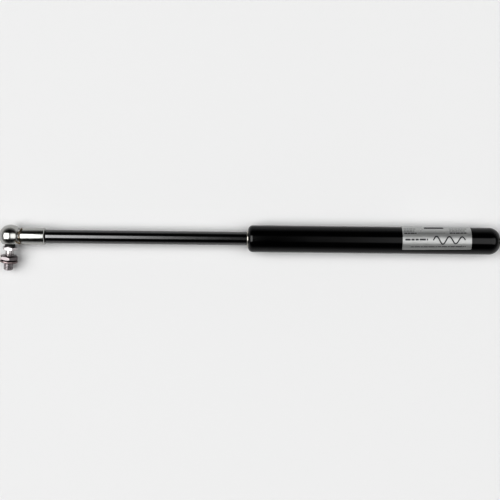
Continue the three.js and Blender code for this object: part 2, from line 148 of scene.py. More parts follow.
def soften(outline, fillet, closed=True, steps=3):
    """Rounds an outline's corners. A corner that turns little, as on an arc, stays as it is."""
    count = len(outline)
    rounded = []
    for i, corner in enumerate(outline):
        on_end = not closed and i in (0, count - 1)
        here = Vector(corner[:2])
        before = Vector(outline[i - 1][:2]) - here
        after = Vector(outline[(i + 1) % count][:2]) - here
        threaded = len(corner) > 2
        if on_end or threaded or before.length == 0 or after.length == 0:
            rounded.append(corner)
            continue
        turn = math.pi - before.angle(after)
        if turn < math.radians(20):
            rounded.append(corner)
            continue
        reach = min(fillet * math.tan(turn / 2), before.length * 0.45, after.length * 0.45)
        first = here + before.normalized() * reach
        last = here + after.normalized() * reach
        for step in range(steps + 1):
            t = step / steps
            point = first * (1 - t) ** 2 + here * 2 * t * (1 - t) + last * t ** 2
            rounded.append((point.x, point.y))
    return rounded


def thread_rows(radius, start, end, chamfer_start=0.0, chamfer_end=0.0, runout_end=0.0,
                runout_start=0.0, rows_per_pitch=12):
    """Outline rows (radius, height, depth, cap) for a screw thread between two heights."""
    count = max(int((end - start) / THREAD_PITCH * rows_per_pitch), 8)
    rows = []
    for i in range(count + 1):
        height = start + (end - start) * i / count
        cap = radius
        if chamfer_start:
            cap = min(cap, radius - chamfer_start + (height - start))
        if chamfer_end:
            cap = min(cap, radius - chamfer_end + (end - height))
        depth = THREAD_DEPTH
        if runout_start:
            depth *= min((height - start) / runout_start, 1.0)
        if runout_end:
            depth *= min((end - height) / runout_end, 1.0)
        rows.append((radius, height, depth, cap))
    return rows


def ridge(turns):
    """A thread's section over one pitch: 0 on the crest, 1 in the root."""
    place = abs((turns + 0.5) % 1.0 - 0.5)
    return min(max((place - 0.07) / 0.33, 0.0), 1.0)


def new_object(name, vertices, faces, smooth_angle=32):
    mesh = bpy.data.meshes.new(name)
    mesh.from_pydata(vertices, [], faces)
    mesh.update()
    piece = bpy.data.objects.new(name, mesh)
    bpy.context.scene.collection.objects.link(piece)
    shade(piece, smooth_angle)
    return piece


def shade(piece, angle=32):
    mesh = piece.data
    for polygon in mesh.polygons:
        polygon.use_smooth = True
    mesh.set_sharp_from_angle(angle=math.radians(angle))


def face_outward(piece):
    """Turns every face of a closed piece outward."""
    mesh = bmesh.new()
    mesh.from_mesh(piece.data)
    bmesh.ops.recalc_face_normals(mesh, faces=mesh.faces)
    mesh.to_mesh(piece.data)
    mesh.free()
    shade(piece)
    return piece


def lathe(name, place, outline, closed=True, segments=96):
    """Turns an outline, anticlockwise with the radius to the right, round a place's axis."""
    vertices, rings = [], []
    for corner in outline:
        radius, height = corner[0], corner[1]
        if radius < 1e-6:
            rings.append([len(vertices)])
            vertices.append(place.at(0, 0, height))
            continue
        depth, cap = corner[2:4] if len(corner) > 2 else (0.0, radius)
        ring = []
        for s in range(segments):
            angle = 2 * math.pi * s / segments
            turned = radius
            if depth:
                turned -= depth * ridge(height / THREAD_PITCH - s / segments)
            ring.append(len(vertices))
            vertices.append(place.at(min(turned, cap), angle, height))
        rings.append(ring)
    pairs = list(zip(rings, rings[1:]))
    if closed:
        pairs.append((rings[-1], rings[0]))
    faces = []
    for low, high in pairs:
        for s in range(segments):
            n = (s + 1) % segments
            if len(low) == 1 and len(high) == 1:
                continue
            if len(low) == 1:
                faces.append((low[0], high[n], high[s]))
            elif len(high) == 1:
                faces.append((low[s], low[n], high[0]))
            else:
                faces.append((low[s], low[n], high[n], high[s]))
    return new_object(name, vertices, faces)


def sweep(name, route, radius, sides=16, closed=False):
    """A round wire along a list of points in metres, with rounded ends unless it is closed."""
    count = len(route)
    tangents = []
    for i in range(count):
        ahead = route[(i + 1) % count] if closed else route[min(i + 1, count - 1)]
        behind = route[i - 1] if closed else route[max(i - 1, 0)]
        tangents.append((ahead - behind).normalized())
    side = tangents[0].orthogonal().normalized()
    vertices, rings = [], []

    def add_ring(centre, tangent, size):
        ring = []
        normal = tangent.cross(side)
        for s in range(sides):
            angle = 2 * math.pi * s / sides
            ring.append(len(vertices))
            vertices.append(centre + (side * math.cos(angle) + normal * math.sin(angle)) * size)
        rings.append(ring)

    cap_steps = 4
    for i, (centre, tangent) in enumerate(zip(route, tangents)):
        side = (side - tangent * side.dot(tangent)).normalized()
        if i == 0 and not closed:
            for step in range(cap_steps):
                turn = math.pi / 2 * (step + 0.35) / cap_steps
                back = tangent * radius * 0.6 * math.cos(turn)
                add_ring(centre - back, tangent, radius * math.sin(turn))
        add_ring(centre, tangent, radius)
        if i == count - 1 and not closed:
            for step in reversed(range(cap_steps)):
                turn = math.pi / 2 * (step + 0.35) / cap_steps
                ahead = tangent * radius * 0.6 * math.cos(turn)
                add_ring(centre + ahead, tangent, radius * math.sin(turn))
    faces = []
    pairs = list(zip(rings, rings[1:]))
    if closed:
        pairs.append((rings[-1], rings[0]))
    for low, high in pairs:
        for s in range(sides):
            n = (s + 1) % sides
            faces.append((low[s], low[n], high[n], high[s]))
    if not closed:
        faces.append(tuple(reversed(rings[0])))
        faces.append(tuple(rings[-1]))
    return new_object(name, vertices, faces, 60)


def smooth_route(points, steps=10):
    """Points of a Catmull-Rom curve through the given ones."""
    ends = [points[0] * 2 - points[1], *points, points[-1] * 2 - points[-2]]
    route = []
    for a, b, c, d in zip(ends, ends[1:], ends[2:], ends[3:]):
        for step in range(steps):
            t = step / steps
            route.append(0.5 * (
                2 * b + (c - a) * t + (2 * a - 5 * b + 4 * c - d) * t ** 2
                + (3 * b - a - 3 * c + d) * t ** 3
            ))
    route.append(points[-1].copy())
    return route


def combine(piece, tool, operation):
    """Joins the tool to the piece or cuts it from it, and drops the tool."""
    modifier = piece.modifiers.new("combine", "BOOLEAN")
    modifier.operation = operation
    modifier.solver = "EXACT"
    modifier.object = tool
    graph = bpy.context.evaluated_depsgraph_get()
    mesh = bpy.data.meshes.new_from_object(piece.evaluated_get(graph))
    piece.modifiers.clear()
    piece.data = mesh
    bpy.data.objects.remove(tool)
    shade(piece)
    return piece


def hexagon(name, place, across_flats, start, end, chamfer, turn=0.0):
    """A hexagon whose ends are turned to a cone, which leaves curved edges on its flats."""
    corner = across_flats / 2 / math.cos(math.pi / 6)
    ring = [place.at(corner, turn + math.pi / 3 * side, start) for side in range(6)]
    ring += [place.at(corner, turn + math.pi / 3 * side, end) for side in range(6)]
    faces = [tuple(reversed(range(6))), tuple(range(6, 12))]
    for side in range(6):
        n = (side + 1) % 6
        faces.append((side, n, 6 + n, 6 + side))
    prism = new_object(name, ring, faces)
    flat = corner - chamfer / math.tan(math.pi / 6)
    spool = lathe(name + "_spool", place, [
        (0, start), (flat, start), (corner + 0.03, start + chamfer),
        (corner + 0.03, end - chamfer), (flat, end), (0, end),
    ], closed=False, segments=120)
    return combine(prism, spool, "INTERSECT")


# ---- materials ----

class Finish:
    """A Principled material and the few nodes that give it detail."""

    def __init__(self, name, color, roughness, metallic=0.0):
        self.material = bpy.data.materials.new(name)
        self.material.use_nodes = True
        self.tree = self.material.node_tree
        self.shader = self.tree.nodes["Principled BSDF"]
        self.shader.inputs["Base Color"].default_value = (*color, 1)
        self.shader.inputs["Roughness"].default_value = roughness
        self.shader.inputs["Metallic"].default_value = metallic
        self.material.diffuse_color = (*color, 1)
        self.place = self.tree.nodes.new("ShaderNodeTexCoord").outputs["Object"]

    def set(self, **values):
        for socket, value in values.items():
            self.shader.inputs[socket.replace("_", " ")].default_value = value
        return self

    def stretched(self, scale, rotation=(0, 0, 0)):
        node = self.tree.nodes.new("ShaderNodeMapping")
        node.inputs["Scale"].default_value = scale
        node.inputs["Rotation"].default_value = rotation
        self.tree.links.new(self.place, node.inputs["Vector"])
        return node.outputs["Vector"]

    def noise(self, scale, detail=3.0, vector=None, roughness=0.55):
        node = self.tree.nodes.new("ShaderNodeTexNoise")
        node.inputs["Scale"].default_value = scale
        node.inputs["Detail"].default_value = detail
        node.inputs["Roughness"].default_value = roughness
        self.tree.links.new(vector or self.place, node.inputs["Vector"])
        return node.outputs["Fac"]

    def remap(self, source, low, high, to_low, to_high):
        node = self.tree.nodes.new("ShaderNodeMapRange")
        node.inputs["From Min"].default_value = low
        node.inputs["From Max"].default_value = high
        node.inputs["To Min"].default_value = to_low
        node.inputs["To Max"].default_value = to_high
        self.tree.links.new(source, node.inputs["Value"])
        return node.outputs["Result"]

    def blend(self, factor, first, second):
        node = self.tree.nodes.new("ShaderNodeMix")
        node.data_type = "RGBA"
        self.tree.links.new(factor, node.inputs["Factor"])
        for socket, color in ((node.inputs[6], first), (node.inputs[7], second)):
            if isinstance(color, tuple):
                socket.default_value = (*color, 1)
            else:
                self.tree.links.new(color, socket)
        return node.outputs[2]

    def color(self, source):
        self.tree.links.new(source, self.shader.inputs["Base Color"])
        return self

    def roughness(self, source):
        self.tree.links.new(source, self.shader.inputs["Roughness"])
        return self

    def bump(self, source, strength, depth):
        node = self.tree.nodes.new("ShaderNodeBump")
        node.inputs["Strength"].default_value = strength
        node.inputs["Distance"].default_value = depth
        self.tree.links.new(source, node.inputs["Height"])
        before = self.shader.inputs["Normal"]
        if before.is_linked:
            self.tree.links.new(before.links[0].from_socket, node.inputs["Normal"])
        self.tree.links.new(node.outputs["Normal"], before)
        return self


def gloss_paint():
    finish = Finish("black_paint", (0.001, 0.001, 0.0012), 0.12)
    finish.set(IOR=1.45)
    cloud = finish.noise(90, 4)
    finish.color(finish.blend(finish.remap(cloud, 0.35, 0.7, 0, 1),
                              (0.0008, 0.0008, 0.001), (0.002, 0.002, 0.0022)))
    smear = finish.noise(26, 5, finish.stretched((0.5, 3, 3)))
    finish.roughness(finish.remap(smear, 0.3, 0.75, 0.07, 0.2))
    finish.bump(finish.noise(420, 2), 0.10, 0.00006)
    return finish.material


def nitrided():
    finish = Finish("nitrided_steel", (0.002, 0.002, 0.0022), 0.14)
    finish.set(IOR=2.15)
    cloud = finish.noise(60, 4, finish.stretched((0.6, 1, 1)))
    finish.color(finish.blend(finish.remap(cloud, 0.3, 0.7, 0, 1),
                              (0.0012, 0.0012, 0.0014), (0.003, 0.003, 0.0032)))
    rings = finish.noise(900, 2, finish.stretched((6, 0.15, 0.15)))
    finish.roughness(finish.remap(rings, 0.3, 0.7, 0.10, 0.2))
    finish.bump(rings, 0.05, 0.00002)
    return finish.material


def zinc(name, color, roughness=0.22, marks=(6, 0.2, 0.2), rotation=(0, 0, 0)):
    finish = Finish(name, color, roughness, 1.0)
    cloud = finish.noise(170, 5)
    dark = tuple(0.93 * c for c in color)
    light = tuple(min(1.05 * c, 1) for c in color)
    finish.color(finish.blend(finish.remap(cloud, 0.3, 0.7, 0, 1), dark, light))
    turned = finish.noise(700, 3, finish.stretched(marks, rotation))
    finish.roughness(finish.remap(cloud, 0.3, 0.7, roughness * 0.85, roughness * 1.2))
    finish.bump(turned, 0.07, 0.00003)
    return finish.material


def rubber():
    finish = Finish("rubber", (0.012, 0.012, 0.012), 0.62)
    finish.bump(finish.noise(2600, 2), 0.25, 0.00003)
    cloud = finish.noise(300, 3)
    finish.roughness(finish.remap(cloud, 0.3, 0.7, 0.5, 0.75))
    finish.color(finish.blend(cloud, (0.008, 0.008, 0.008), (0.02, 0.02, 0.019)))
    return finish.material


def bronze():
    finish = Finish("bronze", (0.42, 0.26, 0.12), 0.42, 1.0)
    pores = finish.noise(3200, 2)
    finish.color(finish.blend(finish.remap(pores, 0.45, 0.6, 0, 1),
                              (0.46, 0.29, 0.14), (0.30, 0.18, 0.09)))
    finish.bump(pores, 0.3, 0.00004)
    return finish.material


def polymer():
    finish = Finish("ring_polymer", (0.03, 0.028, 0.026), 0.5)
    finish.bump(finish.noise(1500, 3), 0.2, 0.00003)
    cloud = finish.noise(400, 3)
    finish.color(finish.blend(cloud, (0.022, 0.02, 0.019), (0.04, 0.038, 0.036)))
    return finish.material


def foil():
    finish = Finish("label_foil", (0.44, 0.445, 0.44), 0.32, 0.65)
    grain = finish.noise(2400, 3, finish.stretched((0.08, 1, 1)))
    finish.color(finish.blend(finish.remap(grain, 0.3, 0.7, 0, 1),
                              (0.41, 0.415, 0.41), (0.48, 0.485, 0.48)))
    finish.roughness(finish.remap(finish.noise(140, 4), 0.3, 0.7, 0.27, 0.37))
    finish.bump(finish.noise(260, 3), 0.18, 0.00006)
    return finish.material


def ink():
    finish = Finish("label_ink", (0.03, 0.03, 0.034), 0.4)
    cloud = finish.noise(1200, 3)
    finish.color(finish.blend(cloud, (0.012, 0.012, 0.014), (0.036, 0.036, 0.04)))
    finish.roughness(finish.remap(cloud, 0.3, 0.7, 0.3, 0.5))
    return finish.material


def paper():
    """Plain pale paper with a fine grain."""
    finish = Finish("floor_paper", (0.66, 0.66, 0.66), 0.7)
    grain = finish.remap(finish.noise(1500, 4), 0.3, 0.7, 0, 0.05)
    finish.color(finish.blend(grain, (0.66, 0.66, 0.66), (0.36, 0.36, 0.36)))
    finish.bump(finish.noise(900, 3), 0.1, 0.00004)
    return finish.material


INK = ink()
LOOKS = {
    "black_paint": gloss_paint(),
    "nitrided_steel": nitrided(),
    "zinc_plate": zinc("zinc_plate", (0.60, 0.60, 0.58), 0.25),
    "socket_zinc": zinc("socket_zinc", (0.48, 0.48, 0.465), 0.21),
    "stud_zinc": zinc("stud_zinc", (0.48, 0.455, 0.46), 0.2, (0.4, 4, 0.4)),
    "washer_zinc": zinc("washer_zinc", (0.27, 0.22, 0.22), 0.32, (0.4, 4, 0.4)),
    "bright_nose": zinc("bright_nose", (0.50, 0.48, 0.44), 0.3),
    "plain_steel": zinc("plain_steel", (0.42, 0.42, 0.42), 0.3),
    "spring_steel": zinc("spring_steel", (0.26, 0.21, 0.155), 0.26, (1, 1, 1)),
    "bronze": bronze(),
    "rubber": rubber(),
    "ring_polymer": polymer(),
    "label_foil": foil(),
}
SLOT_OF = {part["node"]: part["material_slot"] for part in frame["record"]["subparts"]}
BODY_OF = {
    node: body for body, nodes in frame["record"]["behaviour"]["bodies"].items() for node in nodes
}


def stands_for(piece, node, look=None):
    """The piece takes a CAD node's place, body, slot and finish."""
    piece.data.materials.clear()
    piece.data.materials.append(look or LOOKS[SLOT_OF[node]])
    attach(piece, BODY_OF[node])
    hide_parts(node)
    return piece


# ---- the tube and what is fixed in it ----

def reach(radius, hole):
    """The angle at which an arc round the dome's corner comes in to a hole's radius."""
    return math.degrees(math.acos((hole - DOME_AXIS) / radius))


def make_tube():
    hole = THREAD_RADIUS + 0.6
    nose_hole = NOSE_RADIUS + 0.15
    corner_axis = TUBE_RADIUS - FRONT_CORNER
    inner_dome = DOME_CORNER - TUBE_WALL
    inner_corner = FRONT_CORNER - TUBE_WALL
    outline = [
        (nose_hole, TUBE_FRONT + 0.15), (nose_hole + 0.15, TUBE_FRONT),
        *arc(corner_axis, TUBE_FRONT + FRONT_CORNER, FRONT_CORNER, -90, 0, 24),
        *[(TUBE_RADIUS, TUBE_FRONT + FRONT_CORNER + step * 30) for step in range(1, 9)],
        *arc(DOME_AXIS, DOME_START, DOME_CORNER, 0, reach(DOME_CORNER, hole), 40),
        *arc(DOME_AXIS, DOME_START, inner_dome, reach(inner_dome, hole), 0, 24),
        *arc(corner_axis, TUBE_FRONT + FRONT_CORNER, inner_corner, 0, -90, 12),
        (nose_hole, TUBE_FRONT + TUBE_WALL),
    ]
    tube = lathe("tube_body", STRUT, outline, segments=160)
    return stands_for(tube, "cylinder_tube")


def groove_ring(front, back, groove_front, groove_back, groove):
    return [(FITTED, front), (FITTED, groove_front), (groove, groove_front),
            (groove, groove_back), (FITTED, groove_back), (FITTED, back)]


def make_end_plug():
    front, tip = span("end_plug")
    dome = DOME_CORNER - TUBE_WALL - 0.15
    groove = BORE - 2.1
    head = soften([
        (0, front), (FITTED - 0.8, front),
        *groove_ring(front + 0.8, front + 6.5, front + 2, front + 4.4, groove),
    ], 0.25, closed=False)
    curve = arc(DOME_AXIS, DOME_START, dome, 2, reach(dome, THREAD_RADIUS), 16)
    neck_end = DOME_START + DOME_CORNER + 0.4
    outline = [
        *head[:-1], *curve, (THREAD_RADIUS, neck_end),
        *thread_rows(THREAD_RADIUS, neck_end + 0.2, tip, chamfer_end=1.0, runout_start=1.5),
        (THREAD_RADIUS - 1.0, tip), (0, tip),
    ]
    return stands_for(lathe("end_plug_and_stud", STRUT, outline, closed=False), "end_plug")


def make_oring(name, node):
    start, end = span(node)
    middle, section = (start + end) / 2, 0.95
    outline = arc(BORE - section - 0.1, middle, section, 0, 360, 20)[:-1]
    return stands_for(lathe(name, STRUT, outline), node)


def make_rod_guide():
    front, back = span("rod_guide")
    corner = FRONT_CORNER - TUBE_WALL - 0.15
    seat = TUBE_FRONT + TUBE_WALL + 0.15
    outline = soften([
        (ROD_RADIUS + 0.3, front + 0.35), (ROD_RADIUS + 0.65, front),
        (NOSE_RADIUS - 0.3, front), (NOSE_RADIUS, front + 0.3), (NOSE_RADIUS, seat),
        *arc(TUBE_RADIUS - FRONT_CORNER, seat + corner, corner, -90, 0, 10),
        (FITTED, back - 3.9), (BORE - 2.1, back - 3.9), (BORE - 2.1, back - 1.5),
        (FITTED, back - 1.5), (FITTED, back), (8.2, back), (8.2, TUBE_FRONT + 1),
        (ROD_RADIUS + 0.3, TUBE_FRONT + 1),
    ], 0.12)
    return stands_for(lathe("guide_with_nose", STRUT, outline), "rod_guide")


def make_ring(name, node, inner, outer, fillet=0.25):
    """A plain ring on the strut's axis that fills its CAD node's length."""
    start, end = span(node)
    outline = soften([(inner, start), (outer, start), (outer, end), (inner, end)], fillet)
    return stands_for(lathe(name, STRUT, outline), node)


def make_rod_seal():
    front, back = span("rod_seal")
    lip = ROD_RADIUS + 0.12
    outline = soften([
        (lip + 0.5, front), (FITTED, front), (FITTED, back), (FITTED - 1.2, back),
        (10.1, front + 1.8), (9.2, front + 1.8), (8.4, back), (lip + 0.3, back),
        (lip, back - 0.8), (lip + 0.5, back - 2),
    ], 0.25)
    return stands_for(lathe("lip_seal", STRUT, outline), "rod_seal")


# ---- the rod and what is fixed to it ----

SPIGOT = 4.0
PISTON_FRONT = span("stop_sleeve")[1] + 0.3


def make_rod():
    start, end = span("piston_rod")
    shoulder = SOCKET_END + 0.3
    outline = [
        (0, start), (THREAD_RADIUS - 1.0, start),
        *thread_rows(THREAD_RADIUS, start + 0.01, shoulder - 1.2, chamfer_start=1.0,
                     runout_end=1.5),
        (4.2, shoulder - 1.0), (4.2, shoulder),
        *soften([(4.2, shoulder), (ROD_RADIUS - 0.8, shoulder),
                 (ROD_RADIUS, shoulder + 0.8), (ROD_RADIUS, shoulder + 4)], 0.3, False)[1:],
        *[(ROD_RADIUS, shoulder + 20 + step * 30) for step in range(7)],
        *soften([(ROD_RADIUS, PISTON_FRONT - 4), (ROD_RADIUS, PISTON_FRONT - 0.4),
                 (ROD_RADIUS - 0.4, PISTON_FRONT), (SPIGOT, PISTON_FRONT)], 0.1, False),
        (SPIGOT, end - 0.6), (SPIGOT - 0.6, end), (0, end),
    ]
    return stands_for(lathe("rod", STRUT, outline, closed=False), "piston_rod")


def with_orifice(piece):
    """Drills the small gas hole that runs through the piston's pieces."""
    front, back = span("piston_front_disc")[0] - 2, span("piston_back_disc")[1] + 2
    rows = [(0, front), (0.7, front), (0.7, back), (0, back)]
    drill = lathe("drill", STRUT, rows, closed=False, segments=24)
    drill.data.transform(Matrix.Translation(UP * 7.4 * MM))
    return combine(piece, drill, "DIFFERENCE")


def make_piston():
    bore = SPIGOT + 0.15
    for node, outer in (("piston_front_disc", 11.8), ("piston_back_disc", 12.1)):
        start, end = span(node)
        outline = soften([(bore, start), (outer, start), (outer, end), (bore, end)], 0.2)
        stands_for(with_orifice(lathe(node + "_turned", STRUT, outline)), node)
    start, end = span("piston_body")
    outline = soften([
        (bore, start), (12.1, start), (12.1, start + 1), (9.4, start + 1), (9.4, end), (bore, end),
    ], 0.15)
    stands_for(with_orifice(lathe("piston_turned", STRUT, outline)), "piston_body")
    make_ring("floating_piston_ring", "piston_ring", 9.65, BORE - 0.12, 0.3)
    start, end = span("piston_nut")
    nut = hexagon("piston_clamp_nut", STRUT, 13, start, end, 0.9)
    bore_rows = [(0, start - 1), (4.3, start - 1), (4.3, end + 1), (0, end + 1)]
    drill = lathe("nut_bore", STRUT, bore_rows, closed=False, segments=64)
    stands_for(combine(nut, drill, "DIFFERENCE"), "piston_nut")


# ---- the ball joint ----

CLIP_ALONG, CLIP_SIDE, CLIP_WIRE = 7.3, -5.3, 0.65
CLIP_LEG_LOW, CLIP_LEG_HIGH = -9.6, 8.4
CLIP_ELBOW, CLIP_OUTSIDE = 11.4, 9.8
BOW_RADIUS, BOW_ALONG = 7.9, 10.05
NECK_RADIUS, NECK_START, NECK_END = 7.0, 8.35, 10.9
RETAINER_SIDE, RETAINER_WIRE, RETAINER_RADIUS = -3.5, 0.55, 8.05
CUP_RADIUS = BALL_RADIUS + 0.2


def make_socket():
    thread_bottom = SOCKET_END - 20.5
    tapped = THREAD_RADIUS + 0.3
    neck_edge = SHANK_RADIUS - 0.6
    head_angle = math.degrees(math.asin(NECK_START / HEAD_RADIUS))
    outline = [
        *arc(0, 0, HEAD_RADIUS, -90, head_angle - 1.5, 48),
        *soften([
            (HEAD_RADIUS * math.cos(math.radians(head_angle - 1)),
             HEAD_RADIUS * math.sin(math.radians(head_angle - 1))),
            (HEAD_RADIUS * math.cos(math.radians(head_angle)), NECK_START),
            (NECK_RADIUS, NECK_START), (NECK_RADIUS, NECK_END), (neck_edge, NECK_END),
            (SHANK_RADIUS, NECK_END + 0.6),
            (SHANK_RADIUS, SOCKET_END - 0.8), (SHANK_RADIUS - 0.8, SOCKET_END),
            (tapped + 0.5, SOCKET_END), (tapped, SOCKET_END - 0.5), (tapped, thread_bottom),
        ], 0.18, False),
        (0, thread_bottom - 1.5),
    ]
    socket = lathe("socket_turned", STRUT, outline, closed=False, segments=128)
    groove = RETAINER_RADIUS + RETAINER_WIRE + 0.15
    low, high = RETAINER_SIDE - RETAINER_WIRE - 0.2, RETAINER_SIDE + RETAINER_WIRE + 0.2
    cup = lathe("cup", MOUTH, [
        (0, -MOUTH_DEPTH - 6), (10.2, -MOUTH_DEPTH - 6), (10.2, -MOUTH_DEPTH),
        (CUP_RADIUS + 0.2, -MOUTH_DEPTH), (CUP_RADIUS, -MOUTH_DEPTH + 0.25),
        (CUP_RADIUS, low), (groove, low), (groove, high), (CUP_RADIUS, high),
        *arc(0, 0, CUP_RADIUS, 0, 90, 24),
    ], closed=False, segments=112)
    combine(socket, cup, "DIFFERENCE")
    cross = Place(UP, ACROSS)
    hole = CLIP_WIRE + 0.3
    drill = lathe("cross_drill", cross, [(0, -15), (hole, -15), (hole, 15), (0, 15)],
                  closed=False, segments=32)
    drill.data.transform(Matrix.Translation(Vector((CLIP_ALONG, CLIP_SIDE, 0)) * MM))
    combine(socket, drill, "DIFFERENCE")
    return stands_for(socket, "ball_socket")


def bow_point(along, radius, degrees):
    """A point of the bow, at an angle from +Z towards +Y."""
    turn = math.radians(degrees)
    return along, radius * math.sin(turn), radius * math.cos(turn)


def make_clip():
    points = [
        (CLIP_ALONG, CLIP_SIDE, CLIP_LEG_LOW), (CLIP_ALONG, CLIP_SIDE, CLIP_LEG_LOW / 3),
        (CLIP_ALONG, CLIP_SIDE, CLIP_LEG_HIGH / 3), (CLIP_ALONG, CLIP_SIDE, CLIP_LEG_HIGH),
        (CLIP_ALONG + 0.6, CLIP_SIDE - 0.9, CLIP_LEG_HIGH + 1.3),
        (CLIP_ALONG + 2.3, CLIP_SIDE - 2.1, CLIP_LEG_HIGH + 0.9),
        (CLIP_ELBOW - 0.2, CLIP_SIDE - 2.5, CLIP_LEG_HIGH - 0.2),
        bow_point(CLIP_ELBOW, CLIP_OUTSIDE + 0.3, -49),
        bow_point(BOW_ALONG + 0.8, CLIP_OUTSIDE, -50),
        bow_point(BOW_ALONG + 0.1, BOW_RADIUS + 1, -45),
        bow_point(BOW_ALONG, BOW_RADIUS + 0.1, -31),
        bow_point(BOW_ALONG, BOW_RADIUS, -16),
        bow_point(BOW_ALONG, BOW_RADIUS, 0),
        bow_point(BOW_ALONG + 0.3, BOW_RADIUS + 1.3, 14),
        bow_point(BOW_ALONG + 0.9, CLIP_OUTSIDE, 25),
        bow_point(BOW_ALONG + 1.7, CLIP_OUTSIDE, 39),
        bow_point(BOW_ALONG + 2.5, CLIP_OUTSIDE, 55),
    ]
    route = smooth_route([BALL + Vector(point) * MM for point in points], 6)
    return stands_for(sweep("clip_wire", route, CLIP_WIRE * MM), "safety_clip")


def make_retaining_ring():
    start = math.radians(8)
    stops = 96
    route = []
    for stop in range(stops + 1):
        turn = start + (2 * math.pi - 2 * start) * stop / stops
        route.append(BALL + Vector((
            -RETAINER_RADIUS * math.cos(turn), RETAINER_SIDE, RETAINER_RADIUS * math.sin(turn),
        )) * MM)
    return stands_for(sweep("cup_spring_ring", route, RETAINER_WIRE * MM), "retaining_ring")


def make_dust_seal():
    top = STUD_SEAT - STUD_COLLAR - 0.4
    outline = soften([
        (4.7, 8.0), (5.1, 8.0), (5.4, 8.8), (5.15, 9.35), (5.4, 9.9), (5.1, top), (4.7, top),
    ], 0.25)
    return stands_for(lathe("seal_ring", STUD, outline), "dust_seal")


def make_ball_stud():
    neck = 4.4
    neck_angle = math.degrees(math.acos(neck / BALL_RADIUS))
    outline = [
        *arc(0, 0, BALL_RADIUS, -90, neck_angle - 2, 56),
        *soften([(neck + 0.2, BALL_RADIUS * math.sin(math.radians(neck_angle - 1))),
                 (neck, BALL_RADIUS * math.sin(math.radians(neck_angle)) + 0.4),
                 (neck, STUD_SEAT - 2), (STUD_RELIEF_RADIUS, STUD_SEAT - 1)], 0.4, False),
        (STUD_RELIEF_RADIUS, STUD_THREAD_START - 1.1),
        *thread_rows(THREAD_RADIUS, STUD_THREAD_START - 1, STUD_LENGTH, chamfer_start=1.0,
                     chamfer_end=1.0),
        (THREAD_RADIUS - 1.0, STUD_LENGTH), (0, STUD_LENGTH),
    ]
    stud = lathe("stud_turned", STUD, outline, closed=False, segments=80)
    collar = hexagon("stud_hexagon", STUD, STUD_FLATS, STUD_SEAT - STUD_COLLAR, STUD_SEAT, 0.7,
                     STUD_TURN)
    return stands_for(combine(stud, collar, "UNION"), "ball_stud")


def make_stud_nut():
    end = NUT_START + NUT_HEIGHT
    nut = hexagon("nut_hexagon", STUD, NUT_FLATS, NUT_START, end, 1.5, NUT_TURN)
    clear = 0.1
    rows = thread_rows(THREAD_RADIUS + clear, NUT_START - 1.5, end + 1.5)
    tap = lathe("tap", STUD, [(0, NUT_START - 1.5), *rows, (0, end + 1.5)], closed=False,
                segments=80)
    combine(nut, tap, "DIFFERENCE")
    dull = zinc("nut_zinc", (0.27, 0.245, 0.25), 0.36, (0.4, 4, 0.4))
    return stands_for(nut, "stud_nut", dull)


def make_lock_washer():
    """A split spring washer: a square section wound round with its two ends apart."""
    inner, outer = 5.3, 9.05
    start = NUT_START + NUT_HEIGHT + 0.3
    thick, rise = 1.75, 0.25
    section = soften([(inner, 0), (outer, 0), (outer, thick), (inner, thick)], 0.3)
    stops, half_slot = 96, math.radians(5)
    vertices, faces = [], []
    sweep_angle = 2 * math.pi - 2 * half_slot
    for stop in range(stops + 1):
        share = stop / stops
        angle = math.pi / 2 + half_slot + sweep_angle * share
        for radius, height in section:
            vertices.append(STUD.at(radius, angle, start + height + rise * share))
    size = len(section)
    for stop in range(stops):
        for i in range(size):
            n = (i + 1) % size
            a, b = stop * size, (stop + 1) * size
            faces.append((a + i, b + i, b + n, a + n))
    faces.append(tuple(range(size)))
    faces.append(tuple(stops * size + i for i in reversed(range(size))))
    return stands_for(new_object("washer_wound", vertices, faces), "lock_washer")


make_tube()
make_end_plug()
make_oring("plug_ring_seal", "end_plug_oring")
make_oring("guide_ring_seal", "guide_oring")
make_rod_guide()
make_ring("bush", "guide_bush", ROD_RADIUS + 0.12, 8.05, 0.15)
make_rod_seal()
make_ring("seal_backing", "seal_washer", ROD_RADIUS + 0.4, FITTED, 0.15)
make_ring("stop_tube", "stop_sleeve", 10.9, FITTED, 0.3)
make_rod()
make_piston()
make_socket()
make_clip()
make_retaining_ring()
make_dust_seal()
make_ball_stud()
make_stud_nut()
make_lock_washer()


# ---- the label ----

LABEL_LOW, LABEL_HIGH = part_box("label")
LABEL_RADIUS = LABEL_HIGH.z / MM
LABEL_LENGTH = (LABEL_HIGH.x - LABEL_LOW.x) / MM
LABEL_EDGE = math.acos(LABEL_LOW.y / MM / LABEL_RADIUS)
LABEL_FAR = math.asin(LABEL_LOW.z / MM / LABEL_RADIUS)
LABEL_SKEW = 1.2
LABEL_WIDTH = (LABEL_EDGE - LABEL_FAR) * LABEL_RADIUS - LABEL_SKEW
LABEL_THICK = 0.12


def on_label(u, v, lift=0.0):
    """A point u mm along the label and v mm up from its near edge, lifted off it. The label
    was stuck on a little askew."""
    angle = LABEL_EDGE - (v + LABEL_SKEW * u / LABEL_LENGTH) / LABEL_RADIUS
    radius = (LABEL_RADIUS - 0.03 + lift) * MM
    return Vector((LABEL_LOW.x + u * MM, radius * math.cos(angle), radius * math.sin(angle)))


